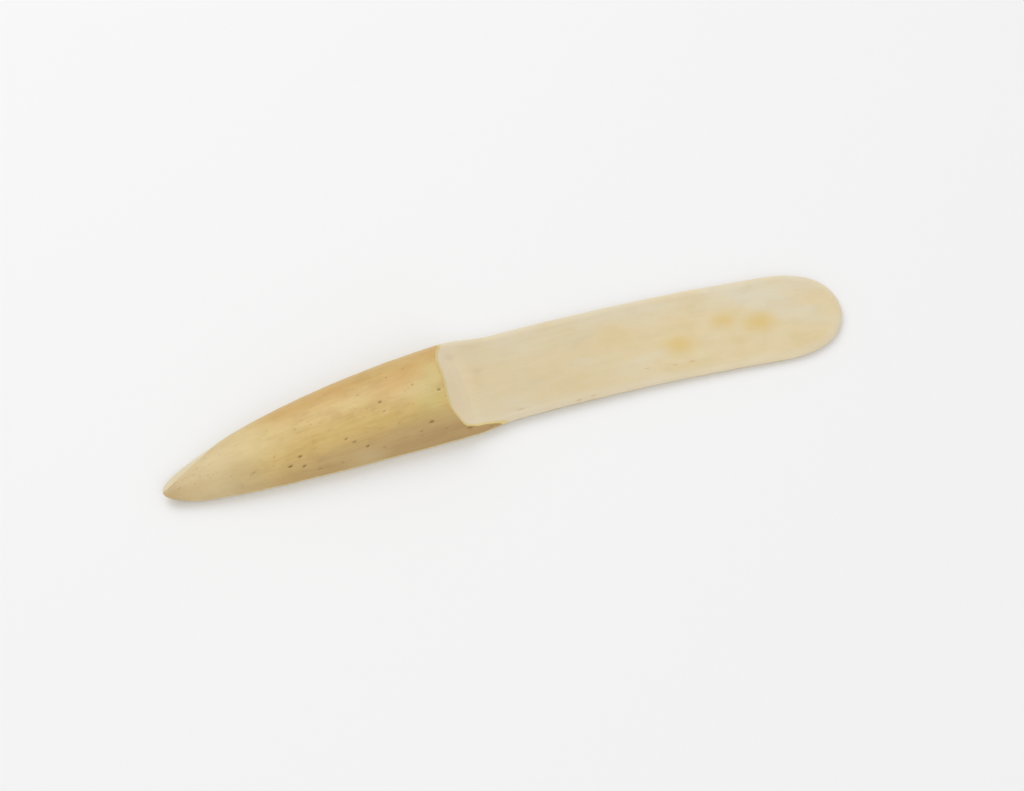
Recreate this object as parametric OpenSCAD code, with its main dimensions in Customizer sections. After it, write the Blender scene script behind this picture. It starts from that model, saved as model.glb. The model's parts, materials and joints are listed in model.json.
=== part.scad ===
// Bone folder: a creasing and burnishing tool cut from one strip of bone.
//
// The tool is described straight, then bent sideways onto one large arc. A place on it has three numbers:
// s, how far along the centre line from the tip; v, how far to the left of the centre line; z, the height
// above the flat back. The handle keeps the domed outside of the bone. The blade is what is left under one
// long cut, which climbs out through the dome at the shoulder.

/* [Whole tool] */
// Length from the tip of the handle to the end of the blade, straight across
tool_len = 180; // [150:1:240]
// How far the middle of the tool bows out sideways from a straight line between its ends
bow = 6.4; // [2:0.1:14]

/* [Handle] */
// Length from the tip to the foot of the shoulder
handle_len = 80; // [60:1:100]
// Width just before the shoulder
handle_w = 27; // [20:0.5:36]
// Thickness at the crown, just before the shoulder
handle_t = 10.5; // [8:0.1:16]
// Height of the widest line above the flat back
belly_z = 1.6; // [0.8:0.1:2.5]
// Height of the very tip above the flat back
nose_z = 2.4; // [0:0.1:4]
// Length over which the back curves up to the tip
nose_len = 10; // [4:1:24]
// How full the outline is: a high number keeps the width further towards the tip
outline_fullness = 1.65; // [1.2:0.05:2.5]
// How full the dome is: 2 is an ellipse, and a high number is squarer
dome_fullness = 2.1; // [1.8:0.1:3]

/* [Shoulder] */
// Rise of the shoulder for each millimetre along it
shoulder_slope = 2; // [1.2:0.1:3]
// Size of the hollow at the foot of the shoulder
shoulder_hollow = 2; // [0.5:0.1:3]

/* [Blade] */
// Width of the blade
blade_w = 25; // [18:0.5:34]
// Length over which the tool narrows from the handle's width to the blade's
waist_len = 12; // [6:1:24]
// Thickness at the foot of the shoulder
blade_root_t = 3.8; // [2.5:0.1:6]
// Thickness at the end
blade_end_t = 2.2; // [1.5:0.1:4]
// Length of the rounded end
blade_end_len = 22; // [12:1:30]
// How square the rounded end is: 2 is half an ellipse
blade_end_squareness = 3.1; // [2:0.1:4]
// Width of the rounded edge on the face
face_edge_w = 2.4; // [0.8:0.1:4]
// Width of the rounded edge on the back
back_edge_w = 1; // [0.4:0.1:2]

/* [Hidden] */

outer_bone = [0.80, 0.68, 0.43];
inner_bone = [0.88, 0.82, 0.67];

// Half the width of the ring at the very tip and at the very end, which close the skin
end_ring_half_w = 0.05;
// The skin is made this much too deep, and the flat back is then cut across it
back_stock = 0.4;
// Length before the foot of the shoulder that is worked in fine steps
shoulder_zone = 10;
tip_steps = 24;
shoulder_steps = 20;
waist_steps = 6;
blade_steps = 6;
end_steps = 16;
top_points = 28;
back_points = 10;

bend_r = (tool_len * tool_len / 4 + bow * bow) / (2 * bow);
half_bend = asin(tool_len / 2 / bend_r);
line_len = 2 * bend_r * half_bend * PI / 180;
end_s = line_len - blade_end_len;

function smooth(t) = let (c = max(0, min(1, t))) c * c * (3 - 2 * c);

// Grows from 0 at the rim to 1 at the given width in, as a quarter of an ellipse does.
function rim(inset, width) = let (u = max(0, 1 - inset / width)) sqrt(1 - u * u);

// Share of the full width and height that the handle has at s.
function handle_share(s) = sqrt(1 - pow(max(0, 1 - s / handle_len), outline_fullness));

function blade_half_w(s) =
    let (waist = smooth((s - handle_len) / waist_len))
    let (u = max(0, (s - end_s) / blade_end_len))
    (handle_w + (blade_w - handle_w) * waist) / 2
    * pow(max(0, 1 - pow(u, blade_end_squareness)), 1 / 2);

function half_w(s) =
    max(end_ring_half_w, s < handle_len ? handle_w / 2 * handle_share(s) : blade_half_w(s));

// Slope of the outline, which tells how far a point really is from the rim.
function rim_slope(s, d = 0.05) = (half_w(min(s + d, line_len)) - half_w(max(s - d, 0))) / (2 * d);

function inset(s, v) = max(0, half_w(s) - abs(v)) / sqrt(1 + pow(rim_slope(s), 2));

// How far the back has curved up off the flat.
function keel_z(s) = nose_z * pow(max(0, 1 - s / nose_len), 2);

// Thickness of the handle at its crown, and height of the blade's face.
function crown_t(s) = (handle_t - keel_z(s)) * max(0.02, handle_share(s));
function face_z(s) =
    blade_root_t + (blade_end_t - blade_root_t) * max(0, s - handle_len) / (line_len - handle_len);

function widest_z(s) = keel_z(s) + min(belly_z, 0.45 * face_z(s), 0.4 * crown_t(s));

function dome_z(s, v) =
    let (share = min(1, abs(v) / half_w(s)))
    widest_z(s)
    + (keel_z(s) + crown_t(s) - widest_z(s)) * pow(1 - pow(share, dome_fullness), 1 / dome_fullness);

// The shoulder climbs towards the handle, out of a hollow at its foot.
function shoulder_rise(s) =
    let (back = max(0, handle_len - s))
    shoulder_slope * (sqrt(back * back + shoulder_hollow * shoulder_hollow) - shoulder_hollow);

function cut_z(s, v) =
    widest_z(s) + (face_z(s) - widest_z(s)) * rim(inset(s, v), face_edge_w) + shoulder_rise(s);

function top_z(s, v) = min(dome_z(s, v), cut_z(s, v));

function back_z(s, v) =
    widest_z(s) - (widest_z(s) - keel_z(s) + back_stock) * rim(inset(s, v), back_edge_w);

// Bends the straight tool onto its arc, with the middle of the arc on +Y.
function bent(s, v, z) =
    let (turn = (s / line_len * 2 - 1) * half_bend)
    [(bend_r + v) * sin(turn), (bend_r + v) * cos(turn) - bend_r, z];

// One ring round the tool at s: over the top from left to right, then back under it.
function ring(s) =
    let (w = half_w(s))
    concat(
        [for (i = [0 : top_points]) let (v = w * cos(180 * i / top_points)) bent(s, v, top_z(s, v))],
        [for (i = [1 : back_points - 1]) let (v = -w * cos(180 * i / back_points)) bent(s, v, back_z(s, v))]
    );

// Places along the tool, closer together where the shape turns quickly.
dome_end = handle_len - shoulder_zone;
handle_places = concat(
    [for (i = [0 : tip_steps]) dome_end * (1 - cos(90 * i / tip_steps))],
    [for (i = [1 : shoulder_steps]) dome_end + shoulder_zone * i / shoulder_steps]
);
waist_end = handle_len + waist_len;
blade_places = concat(
    [for (i = [0 : waist_steps]) handle_len + waist_len * i / waist_steps],
    [for (i = [1 : blade_steps]) waist_end + (end_s - waist_end) * i / blade_steps],
    [for (i = [1 : end_steps]) end_s + blade_end_len * sin(90 * i / end_steps)]
);

// The widest places on both sides give the box that the origin is centred on.
rim_points = [for (s = concat(handle_places, blade_places)) for (side = [-1, 1]) bent(s, side * half_w(s), 0)];
rim_x = [for (p = rim_points) p.x];
rim_y = [for (p = rim_points) p.y];
middle = [(min(rim_x) + max(rim_x)) / 2, (min(rim_y) + max(rim_y)) / 2, 0];

// A closed skin over the rings at the given places.
module skin(places) {
    n = top_points + back_points;
    last = len(places) - 1;
    polyhedron(
        points = [for (s = places) each ring(s)],
        faces = concat(
            [[for (k = [0 : n - 1]) k]],
            [for (i = [0 : last - 1]) for (k = [0 : n - 1])
                [i * n + k, (i + 1) * n + k, i * n + (k + 1) % n]],
            [for (i = [0 : last - 1]) for (k = [0 : n - 1])
                [i * n + (k + 1) % n, (i + 1) * n + k, (i + 1) * n + (k + 1) % n]],
            [[for (k = [n - 1 : -1 : 0]) last * n + k]]
        )
    );
}

// A skin with the flat back cut across it.
module flat_backed(places) {
    translate(-middle)
        difference() {
            skin(places);
            translate([-tool_len, -tool_len, -2 * back_stock])
                cube([2 * tool_len, 2 * tool_len, 2 * back_stock]);
        }
}

module handle() {
    color(outer_bone)
        flat_backed(handle_places);
}

module blade() {
    color(inner_bone)
        flat_backed(blade_places);
}

handle();
blade();
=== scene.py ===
"""Bone folder: a hand-carved creasing tool of bone, with a domed handle and a flat blade.

The tool is described straight and in millimetres, then bent onto one wide arc. A place on it has three
numbers: along, from the tip; across, to the left of the centre line; and height above the flat back.
The whole body is the outside of the bone, cut back: a long flat cut makes the blade, and climbs out through
the dome at the shoulder. How deep a point lies under the untouched outside decides what it looks like,
because the bone is brown and porous only at its skin.
"""

from __future__ import annotations

import json
import logging
import math
from dataclasses import asdict, dataclass, field
from enum import Enum, IntEnum

import bpy
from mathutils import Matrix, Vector

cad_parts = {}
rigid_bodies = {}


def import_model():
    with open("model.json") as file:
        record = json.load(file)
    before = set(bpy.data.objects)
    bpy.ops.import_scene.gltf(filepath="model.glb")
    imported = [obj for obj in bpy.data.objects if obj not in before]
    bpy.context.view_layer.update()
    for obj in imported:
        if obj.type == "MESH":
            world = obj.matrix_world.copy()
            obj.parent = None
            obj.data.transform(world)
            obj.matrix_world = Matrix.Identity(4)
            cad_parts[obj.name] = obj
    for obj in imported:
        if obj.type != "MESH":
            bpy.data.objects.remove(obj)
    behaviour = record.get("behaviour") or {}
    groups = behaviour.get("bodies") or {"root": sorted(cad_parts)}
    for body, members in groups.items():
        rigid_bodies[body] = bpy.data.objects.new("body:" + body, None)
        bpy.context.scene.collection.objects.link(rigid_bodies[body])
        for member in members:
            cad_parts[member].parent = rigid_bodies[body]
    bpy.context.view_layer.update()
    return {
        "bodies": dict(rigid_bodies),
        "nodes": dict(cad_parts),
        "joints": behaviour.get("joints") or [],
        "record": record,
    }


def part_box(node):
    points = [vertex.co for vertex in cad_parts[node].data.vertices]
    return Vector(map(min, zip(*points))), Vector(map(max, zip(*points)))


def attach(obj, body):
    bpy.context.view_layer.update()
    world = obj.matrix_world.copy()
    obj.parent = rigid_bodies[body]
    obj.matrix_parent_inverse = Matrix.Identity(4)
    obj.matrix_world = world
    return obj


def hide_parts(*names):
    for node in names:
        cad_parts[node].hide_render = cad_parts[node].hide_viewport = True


LOG = logging.getLogger("bone_folder")
MM = 0.001
# Added where a point lies right on a border, so that rounding can't put it on the wrong side.
ROUNDING = 1e-4

Node = bpy.types.Node
NodeTree = bpy.types.NodeTree
Socket = bpy.types.NodeSocket
Material = bpy.types.Material
Piece = bpy.types.Object
# Where something fades in: nothing at the first number and all of it at the second, either way round.
Span = tuple[float, float]


def add_node(tree: NodeTree, kind: str, inputs: dict | None = None, **settings: object) -> Node:
    """Adds a node, sets it up, and fills or links its inputs.

    Args:
        tree: The tree that gets the node.
        kind: Blender's name for the kind of node.
        inputs: Input name or number to a value, a socket or a Field.
        **settings: Properties of the node.

    Returns:
        The new node.
    """
    node = tree.nodes.new(kind)
    for name, value in settings.items():
        setattr(node, name, value)
    for key, value in (inputs or {}).items():
        value = value.socket if isinstance(value, Field) else value
        if isinstance(value, bpy.types.NodeSocket):
            tree.links.new(value, node.inputs[key])
        else:
            node.inputs[key].default_value = value
    return node


@dataclass(frozen=True, eq=False)
class Field:
    """A number that varies from point to point. Arithmetic on it adds Math nodes to its tree."""

    tree: NodeTree
    socket: Socket

    def math(self, operation: str, *others: Field | float, first: bool = True) -> Field:
        """Adds one Math node.

        Args:
            operation: Blender's name for the operation.
            *others: The other operands.
            first: False puts this field after the others.

        Returns:
            The result.
        """
        operands = (self, *others) if first else (*others, self)
        node = add_node(self.tree, "ShaderNodeMath", dict(enumerate(operands)), operation=operation)
        return Field(self.tree, node.outputs[0])

    def __add__(self, other: Field | float) -> Field:
        """Sum."""
        return self.math("ADD", other)

    def __sub__(self, other: Field | float) -> Field:
        """Difference."""
        return self.math("SUBTRACT", other)

    def __rsub__(self, other: float) -> Field:
        """A number less this field."""
        return self.math("SUBTRACT", other, first=False)

    def __mul__(self, other: Field | float) -> Field:
        """Product."""
        return self.math("MULTIPLY", other)

    def __truediv__(self, other: Field | float) -> Field:
        """Quotient."""
        return self.math("DIVIDE", other)

    def __rtruediv__(self, other: float) -> Field:
        """A number divided by this field."""
        return self.math("DIVIDE", other, first=False)

    def __pow__(self, other: Field | float) -> Field:
        """Power."""
        return self.math("POWER", other)

    def __abs__(self) -> Field:
        """Size without sign."""
        return self.math("ABSOLUTE")

    __radd__ = __add__
    __rmul__ = __mul__

    def root(self) -> Field:
        """Square root, or 0 below 0."""
        return self.math("MAXIMUM", 0.0).math("SQRT")

    def at_least(self, other: Field | float) -> Field:
        """The larger of the two."""
        return self.math("MAXIMUM", other)

    def at_most(self, other: Field | float) -> Field:
        """The smaller of the two."""
        return self.math("MINIMUM", other)

    def worn_to(self, other: Field, rounding: float) -> Field:
        """The smaller of the two, with the edge between them rounded."""
        return self.math("SMOOTH_MIN", other, rounding)

    def above(self, other: Field | float) -> Field:
        """1 where this is the larger, else 0."""
        return self.math("GREATER_THAN", other)

    def fade(self, none: Field | float, full: Field | float) -> Field:
        """Goes smoothly from 0 at one value to 1 at another, which may be the lower one.

        Args:
            none: Where it is 0.
            full: Where it is 1.

        Returns:
            A field from 0 to 1.
        """
        names = ("Value", "From Min", "From Max")
        node = add_node(self.tree, "ShaderNodeMapRange", dict(zip(names, (self, none, full))))
        node.interpolation_type = "SMOOTHSTEP"
        return Field(self.tree, node.outputs[0])

    def bump_at(self, middle: float, reach: float) -> Field:
        """1 at the middle, and down to 0.37 at the reach on both sides."""
        return (((self - middle) / reach) ** 2.0 * -1.0).math("EXPONENT")


@dataclass(frozen=True)
class Pattern:
    """Smooth patches that follow the bone: the length and the width of one, in millimetres.

    The seed moves the pattern, so that two don't match. The detail is how many finer sizes are laid over
    the first.
    """

    run: float
    width: float
    seed: float
    detail: float = 2.0


@dataclass(frozen=True, eq=False)
class Place:
    """Where a point of the bone is on the straight tool, as three fields in millimetres."""

    along: Field
    across: Field
    height: Field

    def patches(self, pattern: Pattern) -> Field:
        """Reads a pattern at this place.

        Args:
            pattern: The pattern.

        Returns:
            A field from 0 to 1, mostly near a half.
        """
        tree = self.along.tree
        numbers = {
            0: self.along / pattern.run + pattern.seed,
            1: self.across / pattern.width,
            2: self.height / pattern.width - pattern.seed,
        }
        vector = add_node(tree, "ShaderNodeCombineXYZ", numbers).outputs[0]
        settings = {"Vector": vector, "Scale": 1.0, "Detail": pattern.detail, "Roughness": 0.5}
        return Field(tree, add_node(tree, "ShaderNodeTexNoise", settings).outputs[0])

    def spot(self, along: float, across: float, reach: float, width: float) -> Field:
        """A soft spot on the bone.

        Args:
            along: Where its middle is along the bone.
            across: Where its middle is across it.
            reach: How far it goes along the bone.
            width: How far it goes across it.

        Returns:
            A field that is 1 in the middle and fades to nothing.
        """
        run = (self.along - along) / reach
        side = (self.across - across) / width
        return ((run * run + side * side) * -1.0).math("EXPONENT")


def linear(code: str) -> tuple[float, float, float, float]:
    """Turns an sRGB hex colour such as "D8BC7A" into linear RGBA."""
    parts = (int(code[i : i + 2], 16) / 255 for i in (0, 2, 4))
    return (*(c / 12.92 if c <= 0.04045 else ((c + 0.055) / 1.055) ** 2.4 for c in parts), 1.0)


class MarkKind(IntEnum):
    """What a mark on the bone is."""

    PORE = 1
    STAIN = 2
    NICK = 3
    SMUDGE = 4


@dataclass(frozen=True)
class Mark:
    """One mark with a set place on the upper side. Sizes are in millimetres."""

    kind: MarkKind
    along: float
    across: float
    reach: float
    strength: float


# Each row of the next four tables is a mark: its place along and across, its reach and its strength.
# At least 27 of the 40 places came out of a measuring program, and 13 of those were then moved by under 1
# mm. The other places, and every reach and strength, were chosen.
# The pores that show singly or in clusters. Each was the mouth of a blood vessel.
PORES = (
    (58.2, -0.8, 0.39, 1.0), (73.2, -2.6, 0.41, 0.9), (69.0, -9.4, 0.56, 1.0), (47.0, -6.6, 0.39, 0.8),
    (48.7, -7.9, 0.43, 0.8), (51.6, -9.7, 0.47, 0.9), (34.7, -6.4, 0.48, 1.0), (34.9, -8.6, 0.47, 0.9),
    (31.5, -7.6, 0.55, 1.0), (53.6, 3.2, 0.31, 0.5), (62.0, 5.7, 0.33, 0.5), (66.6, 6.6, 0.35, 0.6),
    (67.4, 0.9, 0.35, 0.6), (58.4, -3.5, 0.31, 0.5), (65.8, -10.6, 0.35, 0.6), (78.2, -12.3, 0.62, 0.8),
    (43.0, 2.0, 0.27, 0.4), (38.5, -10.2, 0.39, 0.7), (55.6, -11.0, 0.37, 0.6), (72.4, -11.6, 0.33, 0.6),
    (28.6, -4.2, 0.28, 0.4), (61.0, -7.4, 0.28, 0.5), (22.4, -5.6, 0.35, 0.5), (44.5, -10.8, 0.37, 0.6),
    (83.8, -12.8, 0.38, 0.9),
)
# Oily yellow stains on the blade, faint grey smudges at the shoulder, and dark nicks in the blade's face.
STAINS = ((136.9, -3.4, 4.8, 1.0), (149.7, 1.2, 3.8, 0.8), (158.6, -0.8, 4.6, 1.0), (121.0, 3.0, 6.0, 0.3))
SMUDGES = ((79.2, 8.2, 1.5, 0.6), (84.9, 2.6, 1.4, 0.7), (98.0, -5.0, 3.2, 0.35), (112.0, 4.2, 3.6, 0.3))
NICKS = (
    (127.0, -8.2, 0.24, 0.7), (134.4, -8.8, 0.26, 0.8), (138.8, -8.8, 0.24, 0.8), (107.7, -12.1, 0.24, 0.6),
    (111.6, -11.9, 0.22, 0.5), (92.3, -10.9, 0.34, 0.6), (170.2, 6.4, 0.19, 0.5),
)


def all_marks() -> list[Mark]:
    """Every mark that has a set place."""
    rows = {
        MarkKind.PORE: PORES,
        MarkKind.STAIN: STAINS,
        MarkKind.SMUDGE: SMUDGES,
        MarkKind.NICK: NICKS,
    }
    return [Mark(kind, *row) for kind, group in rows.items() for row in group]


def marks_mesh(marks: list[Mark]) -> bpy.types.Mesh:
    """Makes a mesh of loose points, one for each mark, with its kind, reach and strength.

    Args:
        marks: The marks to hold.

    Returns:
        The mesh, in millimetres along and across the straight tool.
    """
    mesh = bpy.data.meshes.new("marks")
    mesh.from_pydata([(m.along, m.across, 0.0) for m in marks], [], [])
    for name in ("kind", "reach", "strength"):
        layer = mesh.attributes.new(name, "FLOAT", "POINT")
        layer.data.foreach_set("value", [float(getattr(m, name)) for m in marks])
    return mesh


@dataclass(frozen=True)
class FolderSizes:
    """The driving sizes of the tool, in millimetres. They are the design's own."""

    tool_len: float = 180.0
    bow: float = 6.4
    handle_len: float = 80.0
    handle_w: float = 27.0
    handle_t: float = 10.5
    belly_z: float = 1.6
    nose_z: float = 2.4
    nose_len: float = 10.0
    outline_fullness: float = 1.65
    dome_fullness: float = 2.1
    shoulder_slope: float = 2.0
    shoulder_hollow: float = 2.0
    blade_w: float = 25.0
    waist_len: float = 12.0
    blade_root_t: float = 3.8
    blade_end_t: float = 2.2
    blade_end_len: float = 22.0
    blade_end_squareness: float = 3.1
    face_edge_w: float = 2.4
    back_edge_w: float = 1.0

    @property
    def bend_r(self) -> float:
        """Radius of the arc that the tool is bent to."""
        return (self.tool_len**2 / 4 + self.bow**2) / (2 * self.bow)

    @property
    def half_bend(self) -> float:
        """Half the angle of that arc, in radians."""
        return math.asin(self.tool_len / 2 / self.bend_r)

    @property
    def line_len(self) -> float:
        """Length of the centre line."""
        return 2 * self.bend_r * self.half_bend


@dataclass(frozen=True)
class HandWork:
    """What carving, scraping and years of handling did to the shape, in millimetres, and where painted
    light goes.

    Along the tool a place counts from the tip, and across it counts to the left of the centre line.
    """

    # The edges were cut by eye, and wave a little. Each side reads the pattern at a place of its own.
    edge_wave: float = 0.32
    edge_pattern: Pattern = Pattern(run=8.0, width=1.0, seed=1.7)
    edge_sides_apart: tuple[float, float] = (9.0, 4.0)
    edge_wave_by_half_w: Span = (0.0, 4.0)
    # All unevenness keeps off the rim.
    rim_kept: Span = (0.0, 1.6)
    dome_ripple: float = 0.14
    dome_pattern: Pattern = Pattern(run=15.0, width=6.0, seed=5.0)
    face_ripple: float = 0.05
    face_pattern: Pattern = Pattern(run=9.0, width=5.0, seed=8.0)
    back_ripple: float = 0.04
    back_pattern: Pattern = Pattern(run=11.0, width=4.0, seed=2.0)
    worn_corner: float = 0.10

    # The facet on the far side of the tip. Its ridge starts on the centre line and runs out to the rim.
    facet_end: float = 23.0
    facet_curve: float = 0.62
    facet_share: float = 1.05
    facet_share_most: float = 0.99
    facet_runs_out: Span = (21.0, 26.0)
    facet_lift: float = 3.0
    facet_worn: float = 0.12
    facet_edge: Span = (0.0, 0.05)

    # The shoulder: its foot wanders, lies further back on both sides, and is worn hollow.
    foot_shift: float = 1.3
    foot_blend: float = 2.0
    foot_askew: float = 0.05
    foot_near_askew: float = 0.17
    foot_wander: float = 1.6
    # The wander is read across the tool, and changes little along it.
    foot_pattern: Pattern = Pattern(run=6.0, width=6.0, seed=12.0)
    foot_pattern_run: float = 0.2
    hollow_worn: float = 2.5
    shoulder_corner: float = 0.35
    shoulder_corner_from: Span = (68.0, 76.0)
    # A lip was left standing at the far rim of the shoulder.
    lip: float = 0.85
    lip_at: float = 80.0
    lip_reach: float = 5.0
    lip_across: Span = (0.55, 0.98)
    # The face dips a little past the shoulder.
    foot_hollow: float = 0.22
    foot_hollow_at: float = 92.0
    foot_hollow_reach: float = 9.0

    # A strip of skin was left on along the near side, past the shoulder, with a ragged edge.
    skin_left_on: float = 0.54
    skin_left_from: Span = (74.0, 80.0)
    skin_left_to: Span = (95.0, 80.0)
    skin_left_across: Span = (-9.0, -11.0)
    ragged: float = 1.4
    ragged_back: float = 0.3
    ragged_pattern: Pattern = Pattern(run=3.0, width=3.0, seed=14.0)
    # Where a scraper ran along the edges, it took the skin off sooner than the depth alone says.
    side_bared: float = 2.4
    back_bared: float = 4.0
    facet_bared: float = 2.0
    lip_bared: float = 2.4
    lip_bared_from: Span = (77.0, 79.0)
    blade_bared: float = 2.0
    blade_bared_from: Span = (88.0, 98.0)

    # Pores are open in the skin only. Nicks are in the blade.
    pore_skin: Span = (0.35, 0.05)
    pore_depth: float = 0.30
    pore_stretch: float = 2.0
    nick_depth: float = 0.05
    nick_stretch: float = 5.5
    stain_stretch: float = 1.5
    smudge_stretch: float = 1.6
    mark_warp: float = 0.6
    mark_pattern: Pattern = Pattern(run=0.9, width=0.45, seed=4.0)
    # Fine pores are scattered over a sheet, in widths of the handle, and crowd in patches.
    fine_pores: float = 0.28
    fine_pore_sheet: float = 1.3
    fine_pore_grid: tuple[int, int] = (40, 16)
    fine_pore_reach: tuple[float, float] = (0.16, 0.34)
    fine_pore_strength: tuple[float, float] = (0.06, 0.42)
    fine_pore_crowding: Span = (0.35, 0.7)
    fine_pore_pattern: Pattern = Pattern(run=14.0, width=6.0, seed=3.0)

    # Painted light: the shoulder's ramp and the rims are painted paler than the rest, to lift the shade on
    # them.
    ramp_painted_light_span: Span = (-4.0, 5.0)
    ramp_painted_light_edge: Span = (0.0, 0.3)
    rim_painted_light_span: Span = (3.0, 0.0)


@dataclass(frozen=True)
class Stretch:
    """The part of the tool that one piece covers, and how finely it is worked."""

    start: float
    end: float
    rings: int
    points_round: int = 192


@dataclass(frozen=True, eq=False)
class Station:
    """Where a point is before its height is known, as fields in millimetres.

    The inset is how far in from the rim it is, and low is the height of the widest line there. The field
    off_rim is 0 at the rim and 1 well in from it, and is_top is 1 on the upper side and 0 underneath.
    """

    along: Field
    across: Field
    half_w: Field
    outside_w: Field
    inset: Field
    low: Field
    off_rim: Field
    is_top: Field

    def patches(self, pattern: Pattern) -> Field:
        """A pattern read at this station."""
        return Place(self.along, self.across, self.low).patches(pattern)


@dataclass
class BoneBody:
    """The carved body of the tool: a node tree that makes any stretch of it as a closed solid.

    Of a ring's points, top_share lie on the upper side. The crowdings draw rings towards the ends of a
    stretch, and points towards the rims. At the very tip and end a little width and thickness is left, so
    that nothing is divided by 0, and points closer than merge_gap, in metres, then become one.
    """

    sizes: FolderSizes = field(default_factory=FolderSizes)
    work: HandWork = field(default_factory=HandWork)
    top_share: float = 2 / 3
    end_crowding: float = 0.7
    rim_crowding: float = 0.55
    low_on_face: float = 0.45
    low_on_crown: float = 0.4
    tip_half_w: float = 0.02
    least_half_w: float = 0.01
    tip_thickness_share: float = 0.02
    merge_gap: float = 2e-6
    sharp_angle: float = 60.0
    tree: NodeTree = field(init=False)
    given: dict[str, Field] = field(init=False, default_factory=dict)

    def __post_init__(self) -> None:
        """Builds the tree."""
        self.tree = bpy.data.node_groups.new("carved_bone", "GeometryNodeTree")
        self.tree.is_modifier = True
        self._declare_inputs()
        self._build()

    def driving_values(self) -> dict[str, float]:
        """The tree's inputs that hold the tool's sizes, by name."""
        worked_out = ("bend_r", "half_bend", "line_len")
        return asdict(self.sizes) | {name: getattr(self.sizes, name) for name in worked_out}

    def _declare_inputs(self) -> None:
        """Gives the tree its named inputs and its output."""
        kinds = {"marks": "Geometry", "start": "Float", "end": "Float"}
        kinds |= {"rings": "Int", "points_round": "Int", "seed": "Int", "material": "Material"}
        kinds |= {name: "Float" for name in self.driving_values()}
        for name, kind in kinds.items():
            self.tree.interface.new_socket(name, in_out="INPUT", socket_type=f"NodeSocket{kind}")
        self.tree.interface.new_socket("bone", in_out="OUTPUT", socket_type="NodeSocketGeometry")
        entry = self._node("NodeGroupInput")
        self.given = {name: Field(self.tree, entry.outputs[name]) for name in kinds}

    def _node(self, kind: str, inputs: dict | None = None, **settings: object) -> Node:
        """Adds a node to the body's tree."""
        return add_node(self.tree, kind, inputs, **settings)

    def _outside_half_w(self, along: Field) -> Field:
        """Half the width of the uncut bone.

        Args:
            along: Distance from the tip.

        Returns:
            The half width.
        """
        g = self.given
        share = (1.0 - (1.0 - along / g["handle_len"]).at_least(0.0) ** g["outline_fullness"]).root()
        return (g["handle_w"] * share / 2.0).at_least(self.tip_half_w)

    def _half_w(self, along: Field) -> Field:
        """Half the width of the tool, with its waist and its rounded end.

        Args:
            along: Distance from the tip.

        Returns:
            The half width.
        """
        g = self.given
        waist = ((along - g["handle_len"]) / g["waist_len"]).fade(0.0, 1.0)
        narrowed = 1.0 + (g["blade_w"] / g["handle_w"] - 1.0) * waist
        gone = ((along - g["line_len"]) / g["blade_end_len"] + 1.0).at_least(0.0)
        end = (1.0 - gone ** g["blade_end_squareness"]).root()
        return (self._outside_half_w(along) * narrowed * end).at_least(self.tip_half_w)

    def _keel(self, along: Field) -> Field:
        """How far the back has curved up off the flat."""
        g = self.given
        return (1.0 - along / g["nose_len"]).at_least(0.0) ** 2.0 * g["nose_z"]

    def _crown_t(self, along: Field) -> Field:
        """Thickness of the uncut bone at its crown.

        Args:
            along: Distance from the tip.

        Returns:
            The thickness.
        """
        g = self.given
        share = self._outside_half_w(along) * 2.0 / g["handle_w"]
        return (g["handle_t"] - self._keel(along)) * share.at_least(self.tip_thickness_share)

    def _face_z(self, along: Field) -> Field:
        """Height of the blade's face.

        Args:
            along: Distance from the tip.

        Returns:
            The height.
        """
        g = self.given
        gone = ((along - g["handle_len"]) / (g["line_len"] - g["handle_len"])).at_least(0.0)
        return g["blade_root_t"] + (g["blade_end_t"] - g["blade_root_t"]) * gone

    def _widest_z(self, along: Field) -> Field:
        """Height of the widest line round the tool."""
        low = (self._face_z(along) * self.low_on_face).at_most(self._crown_t(along) * self.low_on_crown)
        return low.at_most(self.given["belly_z"]) + self._keel(along)

    def _dome_z(self, along: Field, across: Field, half_w: Field) -> Field:
        """Height of the domed outside of the bone.

        Args:
            along: Distance from the tip.
            across: Distance from the centre line.
            half_w: Half the width there.

        Returns:
            The height.
        """
        g = self.given
        share = (abs(across) / half_w).at_most(1.0)
        dome = (1.0 - share ** g["dome_fullness"]).at_least(0.0) ** (1.0 / g["dome_fullness"])
        low = self._widest_z(along)
        return low + (self._keel(along) + self._crown_t(along) - low) * dome

    def _girth(self, along: Field, across: Field) -> Field:
        """Distance round the dome, so that a pore keeps its shape on the steep sides.

        Args:
            along: Distance from the tip.
            across: Distance from the centre line.

        Returns:
            The distance from the crown.
        """
        half_w = self._outside_half_w(along)
        turn = (across / half_w).at_most(1.0).at_least(-1.0).math("ARCSINE")
        return turn * (half_w + self._crown_t(along)) / 2.0

    def _rim(self, inset: Field, width: Field) -> Field:
        """Grows from 0 at the rim to 1 at the given width in, as a quarter of an ellipse does."""
        short = (1.0 - inset / width).at_least(0.0)
        return (1.0 - short * short).root()

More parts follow.
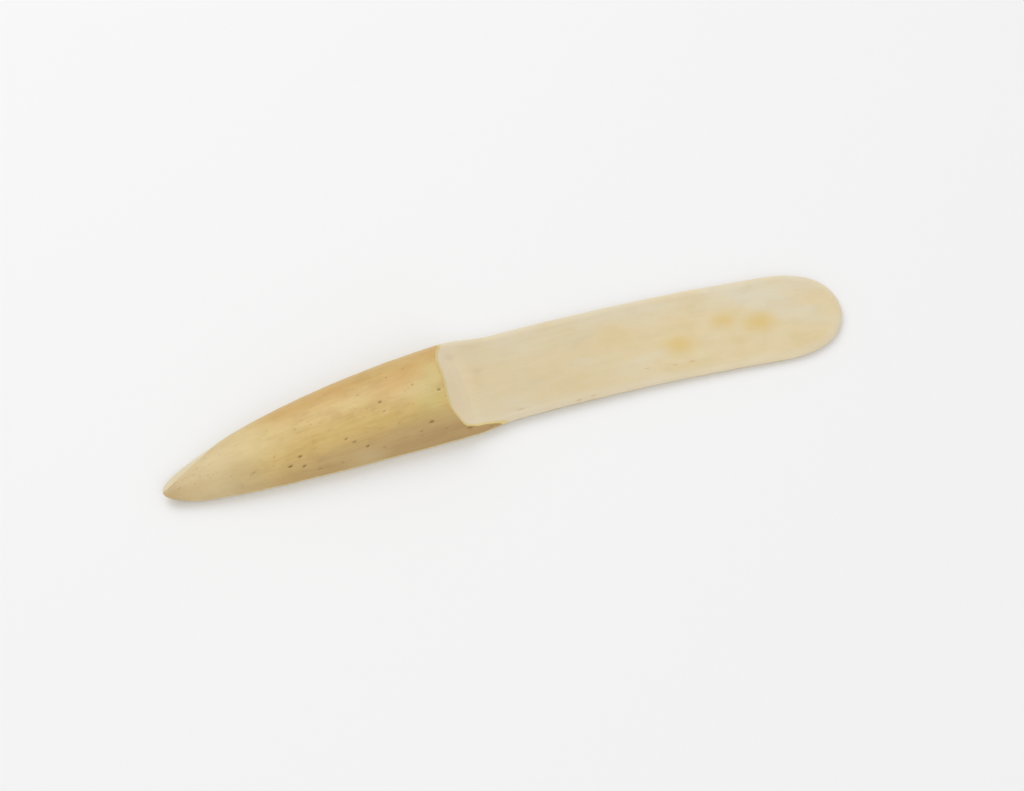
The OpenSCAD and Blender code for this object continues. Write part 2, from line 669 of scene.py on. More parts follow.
    def _fine_pores(self) -> Socket:
        """Scatters fine pores over the dome, by a fixed seed, as points in girth space.

        Returns:
            Points that hold reach and strength as the marks do.
        """
        g, work = self.given, self.work
        names = ("Size X", "Size Y", "Vertices X", "Vertices Y")
        size = (g["handle_len"], g["handle_w"] * work.fine_pore_sheet, *work.fine_pore_grid)
        sheet = self._node("GeometryNodeMeshGrid", dict(zip(names, size))).outputs["Mesh"]
        at = self._node("ShaderNodeCombineXYZ", {0: g["handle_len"] / 2.0}).outputs[0]
        sheet = self._node("GeometryNodeSetPosition", {"Geometry": sheet, "Offset": at}).outputs[0]
        crowding = Place(*self._position()).patches(work.fine_pore_pattern).fade(*work.fine_pore_crowding)
        scatter = self._node(
            "GeometryNodeDistributePointsOnFaces",
            {"Mesh": sheet, "Density": crowding * work.fine_pores, "Seed": g["seed"]},
            distribute_method="RANDOM",
        )
        points = scatter.outputs["Points"]
        sizes = {"reach": work.fine_pore_reach, "strength": work.fine_pore_strength}
        for step, (name, (low, high)) in enumerate(sizes.items(), start=1):
            limits = {2: low, 3: high, "Seed": g["seed"] + step}
            value = self._node("FunctionNodeRandomValue", limits).outputs[1]
            kept = {"Geometry": points, "Name": name, "Value": value}
            points = self._node("GeometryNodeStoreNamedAttribute", kept).outputs[0]
        return points

    def _position(self) -> tuple[Field, Field, Field]:
        """Reads the position of the geometry at hand.

        Returns:
            Its three parts.
        """
        position = self._node("GeometryNodeInputPosition").outputs[0]
        parts = self._node("ShaderNodeSeparateXYZ", {0: position}).outputs
        return tuple(Field(self.tree, part) for part in parts)

    def _marks_of(self, kind: MarkKind, stretch: float, in_girth: bool) -> Socket:
        """Picks the marks of one kind and puts them where they are looked for.

        Args:
            kind: The kind of mark.
            stretch: How much longer than wide such a mark is.
            in_girth: True measures across round the dome, and not straight across.

        Returns:
            The points.
        """
        kind_held = self._node("GeometryNodeInputNamedAttribute", {"Name": "kind"}).outputs["Attribute"]
        chosen = Field(self.tree, kind_held).math("COMPARE", float(kind), 0.5)
        sorted_out = {"Geometry": self.given["marks"], "Selection": chosen}
        marks = self._node("GeometryNodeSeparateGeometry", sorted_out).outputs[0]
        x, y, _ = self._position()
        placed = {0: x, 1: self._girth(x, y) if in_girth else y}
        spot = self._node("ShaderNodeCombineXYZ", placed).outputs[0]
        marks = self._node("GeometryNodeSetPosition", {"Geometry": marks, "Position": spot}).outputs[0]
        if kind is MarkKind.PORE:
            points = self._node("GeometryNodeMeshToPoints", {"Mesh": marks}).outputs[0]
            join = self._node("GeometryNodeJoinGeometry")
            for source in (points, self._fine_pores()):
                self.tree.links.new(source, join.inputs[0])
            marks = join.outputs[0]
        squeeze = self._node("ShaderNodeCombineXYZ", {0: 1 / stretch, 1: 1.0, 2: 1.0}).outputs[0]
        here = self._node("GeometryNodeInputPosition").outputs[0]
        squeezed = self._node("ShaderNodeVectorMath", {0: here, 1: squeeze}, operation="MULTIPLY")
        return self._node(
            "GeometryNodeSetPosition", {"Geometry": marks, "Position": squeezed.outputs[0]}
        ).outputs[0]

    def _mark(self, kind: MarkKind, along: Field, side: Field, stretch: float, in_girth: bool) -> Field:
        """How strongly a kind of mark shows at each point.

        Args:
            kind: The kind of mark.
            along: Distance from the tip.
            side: Distance across, or round the dome.
            stretch: How much longer than wide such a mark is.
            in_girth: True when side is measured round the dome.

        Returns:
            A field from 0 outside the mark to its strength in its middle.
        """
        marks = self._marks_of(kind, stretch, in_girth)
        # The place is shaken a little before it is looked up, so that no mark is a neat oval.
        uneven = (Place(along, side, side).patches(self.work.mark_pattern) - 0.5) / stretch
        shaken = {0: along / stretch + uneven, 1: side + uneven * self.work.mark_warp}
        here = self._node("ShaderNodeCombineXYZ", shaken).outputs[0]
        nearest = self._node(
            "GeometryNodeSampleNearest", {"Geometry": marks, "Sample Position": here}, domain="POINT"
        ).outputs[0]

        held = {"middle": (self._node("GeometryNodeInputPosition").outputs[0], "FLOAT_VECTOR")}
        for name in ("reach", "strength"):
            stored = self._node("GeometryNodeInputNamedAttribute", {"Name": name})
            held[name] = (stored.outputs["Attribute"], "FLOAT")
        read = {}
        for name, (value, data_type) in held.items():
            asked = {"Geometry": marks, "Value": value, "Index": nearest}
            sample = self._node("GeometryNodeSampleIndex", asked, data_type=data_type, domain="POINT")
            read[name] = sample.outputs[0]
        gap = self._node("ShaderNodeVectorMath", {0: here, 1: read["middle"]}, operation="DISTANCE")
        reach, strength = (Field(self.tree, read[name]) for name in ("reach", "strength"))
        return Field(self.tree, gap.outputs["Value"]).fade(reach, 0.0) * strength

    def _tube(self) -> tuple[Socket, Field, Field, Field]:
        """Makes the plain tube that is carved, and reads where each of its points goes.

        Returns:
            The tube; the distance along; the share across, from -1 to 1; and 1 on the upper side, else 0.
        """
        g = self.given
        tube = self._node(
            "GeometryNodeMeshCylinder",
            {"Vertices": g["points_round"], "Side Segments": g["rings"], "Radius": 1.0, "Depth": 1.0},
            fill_type="NGON",
        ).outputs["Mesh"]
        x, y, z = self._position()

        # Rings are closer together at both ends of a stretch, where the shape turns quickly.
        run = z + 0.5
        drawn_out = (1.0 - (run * math.pi).math("COSINE")) * (self.end_crowding / 2)
        along = g["start"] + (g["end"] - g["start"]) * (run * (1 - self.end_crowding) + drawn_out)

        # Each ring goes over the top from the left rim to the right one, and comes back under it.
        turn = (y.math("ARCTAN2", x) / math.tau + 1.0).math("FRACT")
        is_top = (self.top_share + ROUNDING - turn).above(0.0)
        over = 1.0 - turn * (2.0 / self.top_share)
        under = (turn - self.top_share) * (2.0 / (1.0 - self.top_share)) - 1.0
        share = over * is_top + under * (1.0 - is_top)
        drawn_out = (share * (math.pi / 2)).math("SINE") * self.rim_crowding
        return tube, along, share * (1 - self.rim_crowding) + drawn_out, is_top

    def _station(self, along: Field, share: Field, is_top: Field) -> Station:
        """Finds the rims at a distance along the tool, and what follows from them.

        Args:
            along: Distance from the tip.
            share: Place across, from -1 at one rim to 1 at the other.
            is_top: 1 on the upper side, else 0.

        Returns:
            The station.
        """
        work = self.work
        ideal = self._half_w(along)
        side = share.above(0.0)
        edge = Place(along, side * work.edge_sides_apart[0], side * work.edge_sides_apart[1])
        wave = edge.patches(work.edge_pattern) * work.edge_wave * ideal.fade(*work.edge_wave_by_half_w)
        half_w = (ideal - wave).at_least(self.least_half_w)
        outside_w = (self._outside_half_w(along) - wave).at_least(self.least_half_w)
        across = half_w * share

        # The outline's slope tells how far a point really is from the rim.
        step = 0.05
        slope = (self._half_w(along + step) - self._half_w(along - step)) / (2 * step)
        inset = (half_w - abs(across)) / (1.0 + slope * slope).root()
        low, off_rim = self._widest_z(along), inset.fade(*work.rim_kept)
        return Station(along, across, half_w, outside_w, inset, low, off_rim, is_top)

    def _facet(self, at: Station, ripple: Field) -> tuple[Field, Field]:
        """The flat facet that was cut down the far side of the tip.

        Args:
            at: The station.
            ripple: How much the dome is lowered there.

        Returns:
            The facet's height, and how far it has run out, from 0 to 1.
        """
        work = self.work
        share = (at.along / work.facet_end).at_least(0.0) ** work.facet_curve * work.facet_share
        ridge = at.half_w * share.at_most(work.facet_share_most)
        ridge_z = self._dome_z(at.along, ridge, at.half_w) - ripple
        past = at.along.fade(*work.facet_runs_out)
        height = at.low + (ridge_z - at.low) * (at.half_w - at.across) / (at.half_w - ridge)
        return height + past * work.facet_lift, past

    def _cut(self, at: Station) -> tuple[Field, Field, Field]:
        """The long cut that leaves the blade, and climbs out through the dome at the shoulder.

        Args:
            at: The station.

        Returns:
            The cut's height, how far back from the foot of the shoulder it is, and the lip on it.
        """
        g, work = self.given, self.work
        wander = Place(at.across, at.along * work.foot_pattern_run, at.low).patches(work.foot_pattern)
        wander = (wander - 0.5) * work.foot_wander
        askew = at.across.at_least(0.0) * work.foot_askew - at.across.at_most(0.0) * work.foot_near_askew
        gap = g["handle_len"] + work.foot_shift - askew + wander - at.along
        back_off = (gap + (gap * gap + work.foot_blend**2).root()) / 2.0
        hollow = g["shoulder_hollow"] + work.hollow_worn
        rise = g["shoulder_slope"] * ((back_off * back_off + hollow * hollow).root() - hollow)
        face = (self._face_z(at.along) - at.low) * self._rim(at.inset, g["face_edge_w"])
        lip = at.along.bump_at(work.lip_at, work.lip_reach) * work.lip
        lip = lip * (at.across / at.half_w).fade(*work.lip_across)
        dip = at.along.bump_at(work.foot_hollow_at, work.foot_hollow_reach) * work.foot_hollow
        scraped = at.patches(work.face_pattern) * work.face_ripple
        return at.low + face + rise + lip - (dip + scraped) * at.off_rim, gap, lip

    def _depth(self, at: Station, top: Field, uncut: Field, bared: Field) -> Field:
        """How deep each point lies under the untouched outside of the bone.

        Args:
            at: The station.
            top: Height of the finished upper side.
            uncut: Height that the untouched dome had.
            bared: How much more was taken off the upper side by single cuts.

        Returns:
            The depth, in millimetres.
        """
        g, work = self.given, self.work
        crown = self._keel(at.along) + self._crown_t(at.along)
        climb = ((top - at.low) / (crown - at.low)).at_least(0.0).at_most(1.0)
        shell_w = (1.0 - climb ** g["dome_fullness"]) ** (1.0 / g["dome_fullness"]) * at.outside_w
        ragged = at.patches(work.ragged_pattern) * work.ragged
        left = at.along.fade(*work.skin_left_from) * at.along.fade(*work.skin_left_to)
        left = left * at.across.fade(*work.skin_left_across) * (ragged + 1.0) * work.skin_left_on
        sideways = (shell_w - abs(at.across) - left) * work.side_bared
        depth_top = (uncut - top).at_most(sideways).at_least(0.0)
        uneven = (ragged - 0.5) * work.ragged_back
        depth_back = (at.outside_w - abs(at.across) + uneven).at_least(0.0) * work.back_bared
        depth = (depth_top + bared) * at.is_top + depth_back * (1.0 - at.is_top)
        return depth + at.along.fade(*work.blade_bared_from) * work.blade_bared

    def _all_marks(self, at: Station, depth: Field) -> dict[str, Field]:
        """How strongly each kind of mark shows at each point of the upper side.

        Args:
            at: The station.
            depth: How deep it lies under the untouched outside.

        Returns:
            The marks by name.
        """
        work = self.work
        girth = self._girth(at.along, at.across)
        skin = depth.fade(*work.pore_skin)
        marks = {"pore": self._mark(MarkKind.PORE, at.along, girth, work.pore_stretch, True) * skin}
        flat_kinds = {
            MarkKind.NICK: work.nick_stretch,
            MarkKind.STAIN: work.stain_stretch,
            MarkKind.SMUDGE: work.smudge_stretch,
        }
        for kind, stretch in flat_kinds.items():
            marks[kind.name.lower()] = self._mark(kind, at.along, at.across, stretch, False)
        return {name: mark * at.is_top for name, mark in marks.items()}

    def _build(self) -> None:
        """Builds the whole tree, from a plain tube to the finished solid."""
        g, work = self.given, self.work
        tube, along, share, is_top = self._tube()
        at = self._station(along, share, is_top)

        ripple = at.patches(work.dome_pattern) * work.dome_ripple * at.off_rim
        dome = self._dome_z(along, at.across, at.half_w) - ripple
        uncut = self._dome_z(along, at.across, at.outside_w) - ripple
        facet, past = self._facet(at, ripple)
        faceted = (dome - facet).fade(*work.facet_edge) * (1.0 - past)
        dome = dome.worn_to(facet, work.facet_worn)
        cut, gap, lip = self._cut(at)
        softer = along.fade(*work.shoulder_corner_from) * (work.shoulder_corner - work.worn_corner)
        top = dome.worn_to(cut, softer + work.worn_corner)

        bared = faceted * work.facet_bared + lip * work.lip_bared * along.fade(*work.lip_bared_from)
        depth = self._depth(at, top, uncut, bared)
        marks = self._all_marks(at, depth)
        top = top - (marks["pore"] * work.pore_depth + marks["nick"] * work.nick_depth) * at.off_rim
        back = at.low - (at.low - self._keel(along)) * self._rim(at.inset, g["back_edge_w"])
        back = back + at.patches(work.back_pattern) * work.back_ripple * at.off_rim
        height = top * is_top + back * (1.0 - is_top)

        straight = self._node("ShaderNodeCombineXYZ", {0: along, 1: at.across, 2: height}).outputs[0]
        # Painted light: where the shoulder's ramp and the rims get a paler colour, which lifts the shade on
        # them.
        ramp_painted_light = gap.fade(*work.ramp_painted_light_span) * (dome - cut).fade(*work.ramp_painted_light_edge) * is_top
        rim = at.inset.fade(*work.rim_painted_light_span) * is_top
        held = {"place": (straight, "FLOAT_VECTOR")}
        held |= {name: (value, "FLOAT") for name, value in marks.items()}
        held |= {"depth": (depth, "FLOAT"), "ramp_painted_light": (ramp_painted_light, "FLOAT"), "rim": (rim, "FLOAT")}
        solid = tube
        for name, (value, data_type) in held.items():
            kept = {"Geometry": solid, "Name": name, "Value": value}
            solid = self._node("GeometryNodeStoreNamedAttribute", kept, data_type=data_type).outputs[0]

        # The straight tool is bent sideways onto its arc.
        angle = (along / g["line_len"] * 2.0 - 1.0) * g["half_bend"]
        reach = g["bend_r"] + at.across
        bent = {
            0: angle.math("SINE") * reach * MM,
            1: (angle.math("COSINE") * reach - g["bend_r"]) * MM,
            2: height * MM,
        }
        self._finish_solid(solid, self._node("ShaderNodeCombineXYZ", bent).outputs[0])

    def _finish_solid(self, solid: Socket, position: Socket) -> None:
        """Moves the points to their places, closes the poles and sets shading and material.

        Args:
            solid: The tube, with its attributes stored.
            position: Where each point goes, in metres.
        """
        solid = self._node("GeometryNodeSetPosition", {"Geometry": solid, "Position": position}).outputs[0]
        merged = {"Geometry": solid, "Distance": self.merge_gap}
        solid = self._node("GeometryNodeMergeByDistance", merged).outputs[0]
        angle = self._node("GeometryNodeInputMeshEdgeAngle").outputs["Unsigned Angle"]
        sharp = Field(self.tree, angle).above(math.radians(self.sharp_angle))
        solid = self._node(
            "GeometryNodeSetShadeSmooth", {"Geometry": solid, "Shade Smooth": True}, domain="FACE"
        ).outputs[0]
        solid = self._node(
            "GeometryNodeSetShadeSmooth",
            {"Geometry": solid, "Selection": sharp, "Shade Smooth": False},
            domain="EDGE",
        ).outputs[0]
        solid = self._node("GeometryNodeRealizeInstances", {"Geometry": solid}).outputs[0]
        solid = self._node(
            "GeometryNodeSetMaterial", {"Geometry": solid, "Material": self.given["material"]}
        ).outputs[0]
        self._node("NodeGroupOutput", {"bone": solid})

    def make(self, name: str, stretch: Stretch, marks: list[Mark], finish: Material, seed: int) -> Piece:
        """Makes one stretch of the tool as a plain mesh object.

        Args:
            name: The new object's name.
            stretch: The stretch that it covers.
            marks: The marks that have a set place.
            finish: Its material.
            seed: Fixes the scatter of the fine pores.

        Returns:
            The object, at the origin, with no modifier left.
        """
        piece = bpy.data.objects.new(name, marks_mesh(marks))
        bpy.context.scene.collection.objects.link(piece)
        shaping = piece.modifiers.new("carving", "NODES")
        shaping.node_group = self.tree
        values = self.driving_values() | {
            "start": float(stretch.start),
            "end": float(stretch.end),
            "rings": stretch.rings,
            "points_round": stretch.points_round,
            "seed": seed,
            "material": finish,
        }
        for item in self.tree.interface.items_tree:
            if item.in_out == "INPUT" and item.name in values:
                shaping[item.identifier] = values[item.name]
        view = bpy.context.evaluated_depsgraph_get()
        made = bpy.data.meshes.new_from_object(
            piece.evaluated_get(view), preserve_all_data_layers=True, depsgraph=view
        )
        piece.modifiers.clear()
        piece.data = made
        made.name = name
        return piece


class Part(Enum):
    """The part of the bone that a colour goes on."""

    ALL = "all"
    CORE = "core"
    SKIN = "skin"


@dataclass(frozen=True)
class Wash:
    """One colour laid thinly over the ones before it.

    It follows a pattern or something that the carving stored, straight or over a span of it. The near side
    can take more of it.
    """

    colour: str
    strength: float
    part: Part
    follows: str
    span: Span | None = None
    more_dirt_and_shade_near: float = 0.0


@dataclass(frozen=True)
class Layer:
    """One colour on the bone: how much of it shows at each point, and its sRGB colour."""

    amount: Field
    colour: str


# The dense core: waxy cream, greyer on the far side, clouded along the bone; ramp and rims get painted
# light.
CORE_WASHES = (
    Wash("DAD5C4", 0.45, Part.CORE, "far_side"),
    Wash("DCD6C4", 0.45, Part.CORE, "clouds", (0.50, 0.66)),
    Wash("D9C18C", 0.45, Part.CORE, "clouds", (0.48, 0.34)),
    Wash("D2BF92", 0.18, Part.CORE, "mottle", (0.50, 0.36)),
    Wash("E5D9BA", 0.15, Part.CORE, "mottle", (0.50, 0.66)),
    Wash("D0BF99", 0.48, Part.CORE, "along", (145.0, 95.0)),
    Wash("E8DCBC", 0.10, Part.CORE, "grain", (0.50, 0.66)),
    # Painted light: paler on the shoulder's ramp and along the rims, lifting the shade there.
    Wash("EBDABA", 0.95, Part.CORE, "ramp_painted_light"),
    Wash("EDE2C8", 0.50, Part.CORE, "rim"),
)
# The skin: tanned and blotchy, with a fine grain, and browner down both sides; on the near side the brown
# is partly dirt and partly painted shade.
SKIN_WASHES = (
    Wash("D9BB7A", 0.35, Part.SKIN, "clouds", (0.45, 0.62)),
    Wash("DBBF7C", 0.35, Part.SKIN, "mottle", (0.48, 0.64)),
    Wash("BE9B58", 0.40, Part.SKIN, "mottle", (0.48, 0.34)),
    # Partly dirt and partly painted shade: this dark grain is laid on more thickly down the near side.
    Wash("A98450", 0.12, Part.SKIN, "grain", (0.50, 0.36), more_dirt_and_shade_near=0.16),
    Wash("E6D29C", 0.10, Part.SKIN, "grain", (0.52, 0.68)),
    Wash("A8834C", 0.14, Part.SKIN, "fine_grain", (0.44, 0.34)),
    # Partly brown dirt and partly painted shade: the near side of the skin is darker.
    Wash("AC8A59", 0.70, Part.SKIN, "near_side_dirt_and_shade"),
    Wash("B88F4C", 0.28, Part.SKIN, "far_side"),
    Wash("D6C6A1", 0.55, Part.ALL, "along", (30.0, 12.0)),
)
# Dirt and wear, over everything else.
MARK_WASHES = (
    Wash("A9A08C", 0.28, Part.ALL, "smudge"),
    Wash("B5843C", 0.55, Part.ALL, "nick", (0.0, 0.8)),
    Wash("9B7840", 0.60, Part.SKIN, "pore", (0.0, 0.5)),
    Wash("6A4E27", 0.60, Part.SKIN, "pore", (0.35, 1.0)),
)
# Where old oil and handling turned the skin orange or greenish, and where it stayed pale. Each row holds
# the place along and across, the reach along and across, in millimetres, and the strength. Six of the 16
# places came out of the same program, one of them then moved a little. The rest were chosen.
SKIN_TINTS = {
    "CC9A50": (
        (63.5, 2.5, 6.0, 4.0, 0.45), (75.0, 8.9, 5.0, 3.0, 0.45), (35.3, 7.0, 6.0, 3.0, 0.35),
        (47.8, 7.2, 7.0, 3.5, 0.40), (68.2, 5.1, 5.0, 3.0, 0.35),
    ),
    "C9C07E": (
        (70.5, -2.5, 3.5, 5.0, 0.45), (73.0, 3.5, 2.5, 4.0, 0.30), (66.0, -7.0, 8.0, 3.0, 0.10),
    ),
    "E8D9A8": (
        (26.0, -1.0, 9.0, 4.5, 0.28), (25.0, 5.5, 6.0, 3.0, 0.30), (66.0, -1.0, 6.0, 2.5, 0.30),
        (52.0, 2.0, 7.0, 3.0, 0.15), (51.0, -11.5, 6.0, 1.5, 0.25),
    ),
    "A88656": (
        (19.4, -4.5, 6.0, 3.0, 0.22), (6.0, -2.0, 6.0, 4.0, 0.15), (2.0, 0.0, 2.5, 4.0, 0.35),
    ),
}
# What the carving stores on the points for the finish to read, with the masks for painted light.
STORED = ("place", "depth", "pore", "nick", "stain", "smudge", "ramp_painted_light", "rim")


@dataclass(frozen=True)
class BoneFinish:
    """Real bone, carved and scraped, then polished by hands. The eye sees it change with depth.

    The skin is old, tanned and porous. Under it comes a clear yellow line where the cut runs out through
    the skin, and then the dense cream core, which is waxy and lets a little light in.
    """

    name: str
    skin: str = "CFAF67"
    under_skin: str = "E2CC8A"
    core: str = "DFCDA3"
    stain: str = "DCBE74"
    stain_least: float = 0.5
    stain_by_mottle: float = 0.6
    skin_ends: Span = (0.16, 0.05)
    core_starts: Span = (0.66, 1.65)
    depth_waver: float = 0.12
    # The near side's darker brown, partly dirt and partly painted shade, fades in over the first span.
    near_side_dirt_and_shade: Span = (-5.0, -12.5)
    far_side: Span = (2.0, 10.0)
    # Grain runs long and thin down the bone. Mottles are a few millimetres, and clouds are longer.
    grain: Pattern = Pattern(run=18.0, width=0.9, seed=1.0, detail=3.0)
    fine_grain: Pattern = Pattern(run=6.0, width=0.35, seed=6.0)
    mottle: Pattern = Pattern(run=5.0, width=3.2, seed=4.0, detail=3.0)
    clouds: Pattern = Pattern(run=20.0, width=9.0, seed=9.0)
    waver: Pattern = Pattern(run=3.0, width=1.2, seed=11.0)
    # Scraping leaves shallow lines, and the skin is dimpled. Both heights are in millimetres.
    scrape: Pattern = Pattern(run=16.0, width=0.5, seed=3.0, detail=3.0)
    scrape_height: float = 0.03
    dimple: Pattern = Pattern(run=2.6, width=1.5, seed=7.0, detail=3.0)
    dimple_height: float = 0.02
    dimple_height_on_skin: float = 0.07
    dimpled_skin: Span = (0.4, 0.1)
    # Hands polish it unevenly. Pores stay rough, and oily stains are smoother.
    polish: Pattern = Pattern(run=8.0, width=5.0, seed=2.0, detail=3.0)
    roughness: float = 0.44
    roughness_change: float = 0.16
    pore_rougher: float = 0.2
    stain_smoother: float = 0.06
    # A little light gets in, and comes back warmer. The scale is in metres.
    light_in: float = 0.25
    light_in_scale: float = 0.0006
    light_in_colour: tuple[float, float, float] = (1.0, 0.65, 0.35)
    bone_ior: float = 1.55

    def make(self) -> Material:
        """Makes the material.

        Returns:
            The material.
        """
        material = bpy.data.materials.new(self.name)
        material.use_nodes = True
        tree = material.node_tree
        tree.nodes.clear()

        stored = {name: add_node(tree, "ShaderNodeAttribute", attribute_name=name) for name in STORED}
        parts = add_node(tree, "ShaderNodeSeparateXYZ", {0: stored.pop("place").outputs["Vector"]})
        place = Place(*(Field(tree, socket) for socket in parts.outputs))
        worn = {name: Field(tree, node.outputs["Fac"]) for name, node in stored.items()}
        height, roughness = self._surface(place, worn)
        bump = add_node(
            tree, "ShaderNodeBump", {"Height": height, "Distance": MM, "Strength": 1.0}
        ).outputs[0]
        shader = add_node(
            tree,
            "ShaderNodeBsdfPrincipled",
            {
                "Base Color": self._colour(tree, place, worn),
                "Roughness": roughness,
                "IOR": self.bone_ior,
                "Subsurface Weight": self.light_in,
                "Subsurface Radius": self.light_in_colour,
                "Subsurface Scale": self.light_in_scale,
                "Normal": bump,
            },
        )
        add_node(tree, "ShaderNodeOutputMaterial", {"Surface": shader.outputs[0]})
        return material

    def _colour(self, tree: NodeTree, place: Place, worn: dict[str, Field]) -> Socket:
        """Lays every colour of the bone, one over the other.

        Args:
            tree: The material's tree.
            place: Where the point is.
            worn: What the carving stored there.

        Returns:
            The finished colour.
        """
        depth = worn["depth"] + (place.patches(self.waver) - 0.5) * self.depth_waver
        is_skin, is_core = depth.fade(*self.skin_ends), depth.fade(*self.core_starts)
        where = worn | {
            "along": place.along,
            # Partly dirt and partly painted shade, down the near side.
            "near_side_dirt_and_shade": place.across.fade(*self.near_side_dirt_and_shade),
            "far_side": place.across.fade(*self.far_side),
            "grain": place.patches(self.grain),
            "fine_grain": place.patches(self.fine_grain),
            "mottle": place.patches(self.mottle),
            "clouds": place.patches(self.clouds),
        }
        on_part = {Part.CORE: is_core, Part.SKIN: is_skin}

        def washed(washes: tuple[Wash, ...]) -> list[Layer]:
            """Turns washes into layers.

            Args:
                washes: The washes, in the order that they go on.

            Returns:
                The layers.
            """
            layers = []
            for wash in washes:
                amount = where[wash.follows]
                if wash.span:
                    amount = amount.fade(*wash.span)
                if wash.part in on_part:
                    amount = amount * on_part[wash.part]
                # Some washes go on more thickly down the near side, partly as dirt and partly as painted
                # shade.
                more = where["near_side_dirt_and_shade"] * wash.more_dirt_and_shade_near if wash.more_dirt_and_shade_near else 0.0
                layers.append(Layer(amount * (more + wash.strength), wash.colour))
            return layers

        layers = [Layer(is_core, self.core), *washed(CORE_WASHES), Layer(is_skin, self.skin)]
        layers += washed(SKIN_WASHES)
        for tint, spots in SKIN_TINTS.items():
            layers += [Layer(place.spot(*spot) * is_skin * strength, tint) for *spot, strength in spots]
        blotchy = where["mottle"] * self.stain_by_mottle + self.stain_least
        stained = worn["stain"] * (1.0 - is_skin) * blotchy
        layers += [Layer(stained, self.stain), *washed(MARK_WASHES)]
        colour = linear(self.under_skin)
        for layer in layers:
            inputs = {0: layer.amount, 6: colour, 7: linear(layer.colour)}
            colour = add_node(tree, "ShaderNodeMix", inputs, data_type="RGBA").outputs[2]
        return colour

    def _surface(self, place: Place, worn: dict[str, Field]) -> tuple[Field, Field]:
        """The fine relief of the bone and how rough it is.

        Args:
            place: Where the point is.
            worn: What the carving stored there.

        Returns:
            The height in millimetres, and the roughness.
        """
        is_skin = worn["depth"].fade(*self.dimpled_skin)
        dimpled = self.dimple_height + is_skin * self.dimple_height_on_skin
        height = place.patches(self.scrape) * self.scrape_height + place.patches(self.dimple) * dimpled
        roughness = (place.patches(self.polish) - 0.5) * self.roughness_change + self.roughness
        return height, roughness + worn["pore"] * self.pore_rougher - worn["stain"] * self.stain_smoother


WEATHERED_OUTER_BONE = BoneFinish("weathered_outer_bone")
DRESSED_INNER_BONE = BoneFinish("dressed_inner_bone")


@dataclass(frozen=True)
class MattePaper:
    """Thick uncoated white paper under the tool: even, matte and very pale."""

    colour: str = "F4F4F4"
    roughness: float = 0.9
    shine: float = 0.2

    def make(self) -> Material:
        """Makes the material.

        Returns:
            The material.
        """
        material = bpy.data.materials.new("matte_paper")
        material.use_nodes = True
        tree = material.node_tree
        tree.nodes.clear()
        look = {
            "Base Color": linear(self.colour),
            "Roughness": self.roughness,
            "Specular IOR Level": self.shine,
        }
        shader = add_node(tree, "ShaderNodeBsdfPrincipled", look)
        add_node(tree, "ShaderNodeOutputMaterial", {"Surface": shader.outputs[0]})
        return material


@dataclass
class Folder:
    """The whole bone folder: a handle in the bone's skin and a blade in its core."""

    body: BoneBody = field(default_factory=BoneBody)
    handle_rings: int = 420
    blade_rings: int = 400
    pores_seed: int = 7

    def build(self, frame: dict) -> dict[str, Piece]:
        """Builds both pieces and sets them where the frame's own are.


        Returns:
            The pieces by the name of the node that each stands for.
        """
        sizes = self.body.sizes
        marks = all_marks()
        stretches = {
            "handle": (Stretch(0.0, sizes.handle_len, self.handle_rings), WEATHERED_OUTER_BONE),
            "blade": (Stretch(sizes.handle_len, sizes.line_len, self.blade_rings), DRESSED_INNER_BONE),
        }
        made = {}
        for name, (stretch, finish) in stretches.items():
            made[name] = self.body.make(f"carved_{name}", stretch, marks, finish.make(), self.pores_seed)
            LOG.info("%s: %d faces", name, len(made[name].data.polygons))
        self._centre(made, frame)
        return made

    def _centre(self, made: dict[str, Piece], frame: dict) -> None:
        """Moves both meshes together, so that the middle of their box is the middle of the frame's.

        Args:
            made: The pieces by node name.
        """
        boxes = [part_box(name) for name in frame["nodes"]]
        low = [min(box[0][i] for box in boxes) for i in range(3)]
        high = [max(box[1][i] for box in boxes) for i in range(3)]
        points = [corner for piece in made.values() for corner in (v.co for v in piece.data.vertices)]
        shift = Vector(
            (
                (low[0] + high[0] - min(p.x for p in points) - max(p.x for p in points)) / 2,
                (low[1] + high[1] - min(p.y for p in points) - max(p.y for p in points)) / 2,
                low[2] - min(p.z for p in points),
            )
        )
        for piece in made.values():
            for vertex in piece.data.vertices:
                vertex.co += shift
        LOG.info("moved by %s mm", [round(v / MM, 3) for v in shift])


@dataclass(frozen=True)
class SoftLamp:
    """A large round lamp that faces the tool. Turn and height are in degrees, sizes in metres."""

    name: str
    turn: float
    height: float
    power: float
    size: float = 1.1
    distance: float = 1.3


def direction(turn: float, height: float) -> Vector:
    """The direction of something seen from the tool, turned about Z from the front, in degrees."""
    side, up = math.radians(turn), math.radians(height)
    return Vector((math.sin(side) * math.cos(up), -math.cos(side) * math.cos(up), math.sin(up)))


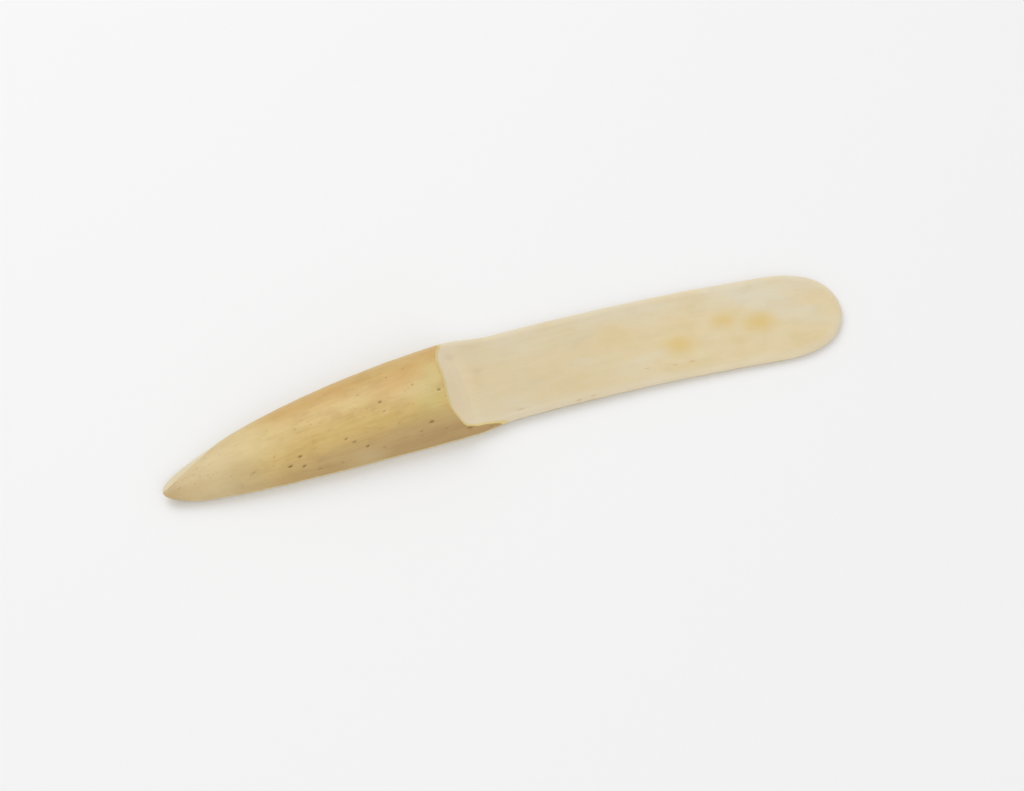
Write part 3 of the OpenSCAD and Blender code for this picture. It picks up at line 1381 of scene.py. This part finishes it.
@dataclass
class Studio:
    """A pale floor, a soft lamp up behind, a weaker one in front, even light all round, and the camera."""

    floor_size: float = 6.0
    floor_gap: float = 0.0001
    sky: float = 0.675
    lamps: tuple[SoftLamp, ...] = (
        SoftLamp("key", turn=200.0, height=48.0, power=6.2),
        SoftLamp("fill", turn=5.0, height=38.0, power=3.2, size=1.4),
    )
    camera_turn: float = -17.475
    camera_height: float = 62.0
    camera_distance: float = 0.75
    aim: tuple[float, float, float] = (0.0018, -0.0023, -0.0017)
    lens: float = 103.4
    sensor: float = 36.0
    nearest: float = 0.01

    def build(self) -> None:
        """Sets up the floor, the light and the camera."""
        scene = bpy.context.scene
        scene.view_settings.view_transform = "Standard"
        self._floor()
        self._light()
        eye = bpy.data.cameras.new("camera")
        eye.lens = self.lens
        eye.sensor_width = self.sensor
        eye.clip_start = self.nearest
        camera = bpy.data.objects.new("camera", eye)
        back = direction(self.camera_turn, self.camera_height)
        camera.location = Vector(self.aim) + back * self.camera_distance
        camera.rotation_euler = back.to_track_quat("Z", "Y").to_euler()
        scene.collection.objects.link(camera)
        scene.camera = camera

    def _floor(self) -> None:
        """Lays the floor just under the tool."""
        half = self.floor_size / 2
        mesh = bpy.data.meshes.new("floor")
        signs = ((-1, -1), (1, -1), (1, 1), (-1, 1))
        corners = [(x * half, y * half, -self.floor_gap) for x, y in signs]
        mesh.from_pydata(corners, [], [(0, 1, 2, 3)])
        floor = bpy.data.objects.new("floor", mesh)
        floor.data.materials.append(MattePaper().make())
        bpy.context.scene.collection.objects.link(floor)

    def _light(self) -> None:
        """Sets the light from all round and hangs the lamps."""
        world = bpy.data.worlds.new("studio")
        world.use_nodes = True
        sky = world.node_tree.nodes["Background"]
        sky.inputs["Color"].default_value = linear("FFFFFF")
        sky.inputs["Strength"].default_value = self.sky
        bpy.context.scene.world = world
        for lamp in self.lamps:
            light = bpy.data.lights.new(lamp.name, "AREA")
            light.shape = "DISK"
            light.size = lamp.size
            light.energy = lamp.power
            hung = bpy.data.objects.new(lamp.name, light)
            away = direction(lamp.turn, lamp.height)
            hung.location = away * lamp.distance
            hung.rotation_euler = away.to_track_quat("Z", "Y").to_euler()
            bpy.context.scene.collection.objects.link(hung)


def main() -> None:
    """Builds the folder over the frame, attaches its pieces to the root body, hides the parts that they
    stand for, and sets the stage.
    """
    logging.basicConfig(level=logging.INFO, format="%(name)s: %(message)s")
    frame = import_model()
    pieces = Folder().build(frame)
    for name, piece in pieces.items():
        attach(piece, "root")
        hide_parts(name)
    Studio().build()
    LOG.info("size written")


if __name__ == "__main__":
    main()
